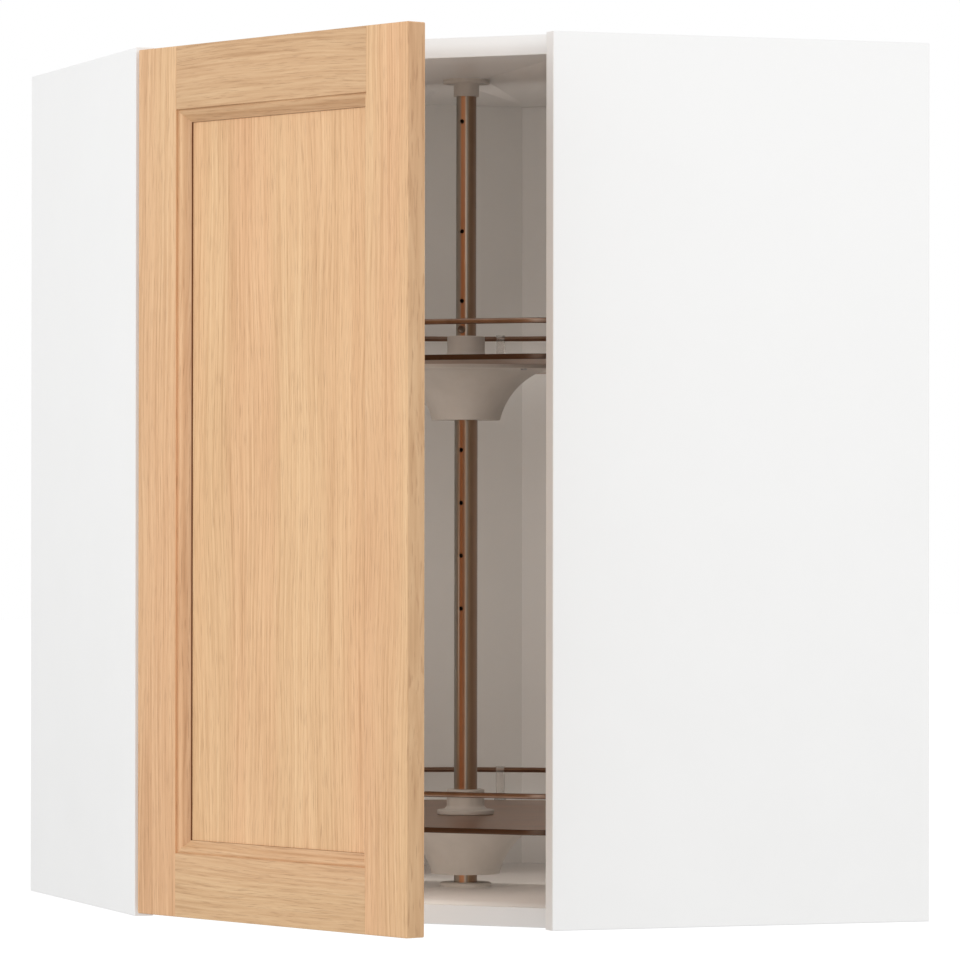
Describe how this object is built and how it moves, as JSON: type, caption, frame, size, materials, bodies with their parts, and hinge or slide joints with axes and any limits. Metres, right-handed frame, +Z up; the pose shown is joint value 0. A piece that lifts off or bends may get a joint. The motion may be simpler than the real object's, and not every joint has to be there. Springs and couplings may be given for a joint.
{
  "type": "corner carousel cabinet",
  "caption": "Wall-hung corner cabinet with a diagonal framed oak door standing ajar and two D-shaped turning trays on one upright post.",
  "frame": {"origin": "on the upright axis of the carousel, at the underside of the bottom panel", "axes": "+Z up, X and Y along the room's two walls, whose corner is at minus X and plus Y; the diagonal door faces plus X and minus Y"},
  "size_m": [0.7444, 0.665, 0.8],
  "materials": {
    "white_board": "satin white melamine foil on particleboard",
    "white_back": "satin white foil on hardboard",
    "oak": "clear matt lacquer",
    "dowel_wood": "raw",
    "grey_plastic": "satin",
    "post_chrome": "polished, reflecting the oak door",
    "rail_chrome": "polished, reflecting the oak door",
    "tray_sheet": "polished, reflecting the oak door",
    "clear_rubber": "clear",
    "zinc_steel": "zinc plated",
    "clear_plastic": "clear moulding"
  },
  "bodies": {
    "cabinet": {"left_side_panel": "white_board", "right_side_panel": "white_board", "top_panel": "white_board", "bottom_panel": "white_board", "left_back_panel": "white_back", "right_back_panel": "white_back", "corner_panel": "white_board", "panel_dowels": "dowel_wood", "cam_locks": "zinc_steel", "cam_bolts": "zinc_steel", "left_hanging_bracket": "zinc_steel", "right_hanging_bracket": "zinc_steel", "bracket_screws": "zinc_steel", "upper_hinge_plate": "zinc_steel", "lower_hinge_plate": "zinc_steel", "upper_hinge_arm": "zinc_steel", "lower_hinge_arm": "zinc_steel", "hinge_plate_screws": "zinc_steel", "hinge_arm_screws": "zinc_steel", "post_foot": "grey_plastic", "foot_screws": "zinc_steel", "post_lower_tube": "post_chrome", "post_upper_tube": "post_chrome", "post_top_tube": "post_chrome", "post_joint_sleeve": "zinc_steel", "post_clamp_screw": "zinc_steel", "top_bearing": "grey_plastic", "bearing_screws": "zinc_steel", "lower_support_collar": "grey_plastic", "upper_support_collar": "grey_plastic", "support_pins": "zinc_steel"},
    "door": {"hinge_stile": "oak", "free_stile": "oak", "door_top_rail": "oak", "door_bottom_rail": "oak", "door_centre_panel": "oak", "upper_hinge_cup": "zinc_steel", "lower_hinge_cup": "zinc_steel", "upper_hinge_link": "zinc_steel", "lower_hinge_link": "zinc_steel", "hinge_cup_screws": "zinc_steel", "door_bumpers": "clear_rubber"},
    "lower_carousel": {"lower_tray": "tray_sheet", "lower_bowl": "grey_plastic", "lower_hub": "grey_plastic", "lower_rail": "rail_chrome", "lower_rail_posts": "clear_plastic", "lower_bowl_screws": "zinc_steel"},
    "upper_carousel": {"upper_tray": "tray_sheet", "upper_bowl": "grey_plastic", "upper_hub": "grey_plastic", "upper_rail": "rail_chrome", "upper_rail_posts": "clear_plastic", "upper_bowl_screws": "zinc_steel"}
  },
  "joints": [
    {"name": "door_swing", "type": "hinge", "parent": "cabinet", "child": "door", "pos_m": [0.01175, -0.33405, 0.4], "axis": [0, 0, -1], "range_deg": [-25.2, 64.8]},
    {"name": "lower_carousel_spin", "type": "hinge", "parent": "cabinet", "child": "lower_carousel", "pos_m": [0, 0, 0.081], "axis": [0, 0, 1], "range_deg": [-360, 360]},
    {"name": "upper_carousel_spin", "type": "hinge", "parent": "cabinet", "child": "upper_carousel", "pos_m": [0, 0, 0.51], "axis": [0, 0, 1], "range_deg": [-360, 360]}
  ]
}
